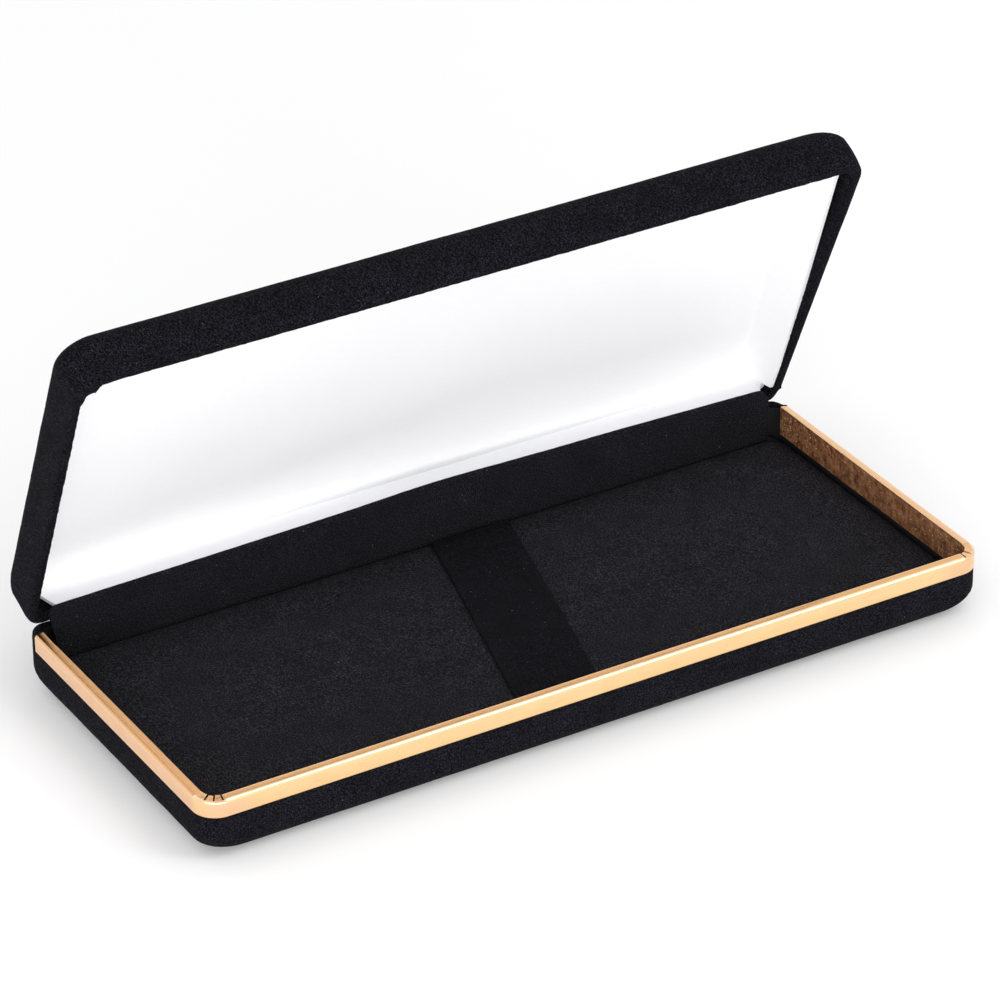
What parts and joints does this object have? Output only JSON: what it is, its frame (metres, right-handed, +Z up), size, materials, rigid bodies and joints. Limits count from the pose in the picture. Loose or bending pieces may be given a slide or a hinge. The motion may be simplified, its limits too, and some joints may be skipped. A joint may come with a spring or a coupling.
{
  "type": "pen storage box",
  "caption": "Velour covered pen case with rounded edges, standing open, with a satin lined lid and a strapped pad.",
  "frame": {"origin": "middle of the base's underside, on the surface the case stands on", "axes": "+X along the case to the right seen from the front, +Y from the front to the hinge, +Z up"},
  "size_m": [0.175, 0.0853, 0.0848],
  "materials": {
    "shell_plastic": "matt black moulding",
    "black_velour": "short flocked pile",
    "gold_strip": "bright gold anodised",
    "hinge_steel": "plain pressed steel",
    "card": "uncoated grey board",
    "foam": "thin soft foam",
    "white_wadding": "loose wadding",
    "white_satin": "soft satin"
  },
  "bodies": {
    "base": {"base_shell": "shell_plastic", "base_velour": "black_velour", "rim_strip": "gold_strip", "pad_board": "card", "pad_foam": "foam", "pad_velour": "black_velour", "pen_strap": "black_velour", "hinge_base_leaf": "hinge_steel", "hinge_pin": "hinge_steel", "hinge_spring": "hinge_steel", "hinge_base_rivets": "hinge_steel", "hinge_cover_card": "card", "hinge_cover_velour": "black_velour"},
    "lid": {"lid_shell": "shell_plastic", "lid_velour": "black_velour", "hinge_lid_leaf": "hinge_steel", "hinge_lid_rivets": "hinge_steel", "lining_card": "card", "lining_wadding": "white_wadding", "lining_satin": "white_satin"}
  },
  "joints": [
    {"name": "lid_hinge", "type": "hinge", "parent": "base", "child": "lid", "pos_m": [0, 0.03605, 0.0135], "axis": [1, 0, 0], "range_deg": [0, 65.8]}
  ]
}
